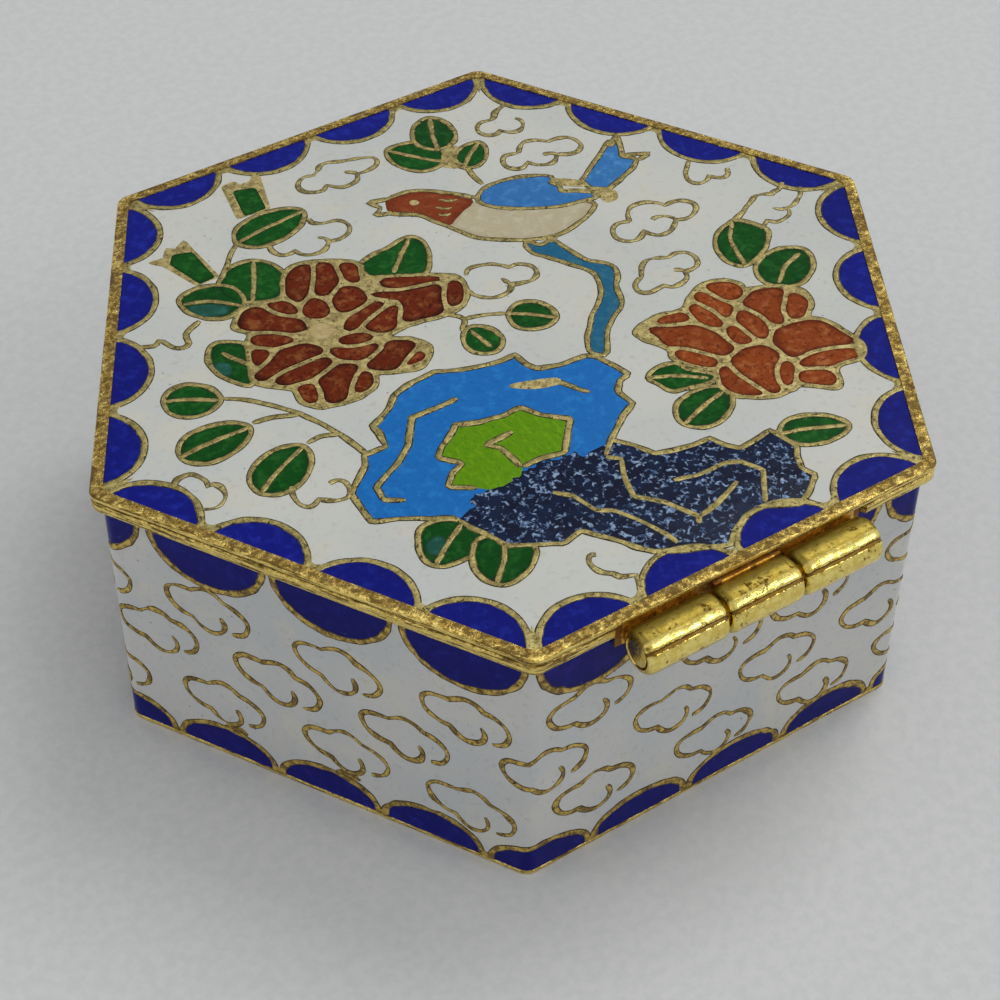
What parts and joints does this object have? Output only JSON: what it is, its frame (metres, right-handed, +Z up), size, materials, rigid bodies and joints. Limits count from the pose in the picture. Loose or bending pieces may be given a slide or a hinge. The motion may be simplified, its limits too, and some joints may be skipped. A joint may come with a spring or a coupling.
{
  "type": "cloisonne enamel trinket box",
  "caption": "Small hexagonal hinged box in cloisonne enamel: bird, peonies and rocks on the lid, clouds and scalloped borders on the walls, brass rims.",
  "frame": {"origin": "centre of the hexagonal underside, on the surface that the box stands on", "axes": "+Z up through the lid, +Y out through the hinge, +X along the hinge axis, towards a corner of the hexagon"},
  "size_m": [0.0574, 0.0526, 0.02],
  "materials": {
    "wall_enamel": "fired enamel, white with blue borders and brass wires, satin gloss",
    "lid_enamel": "fired enamel in many colours between brass wires, ground and polished",
    "rim_brass": "worn gilt brass, pitted, with brown tarnish",
    "hinge_brass": "gilt brass sheet, pitted, brown in the recesses",
    "pin_metal": "dull drawn wire"
  },
  "bodies": {
    "box": {"body_shell": "wall_enamel", "foot_ring": "rim_brass", "body_rim": "rim_brass", "hinge_leaf_body": "hinge_brass", "hinge_pin": "pin_metal"},
    "lid": {"lid_plate": "lid_enamel", "lid_rim": "rim_brass", "hinge_leaf_lid": "hinge_brass"}
  },
  "joints": [
    {"name": "lid_hinge", "type": "hinge", "parent": "box", "child": "lid", "pos_m": [0, 0.0262, 0.01825], "axis": [-1, 0, 0], "range_deg": [0, 110]}
  ]
}
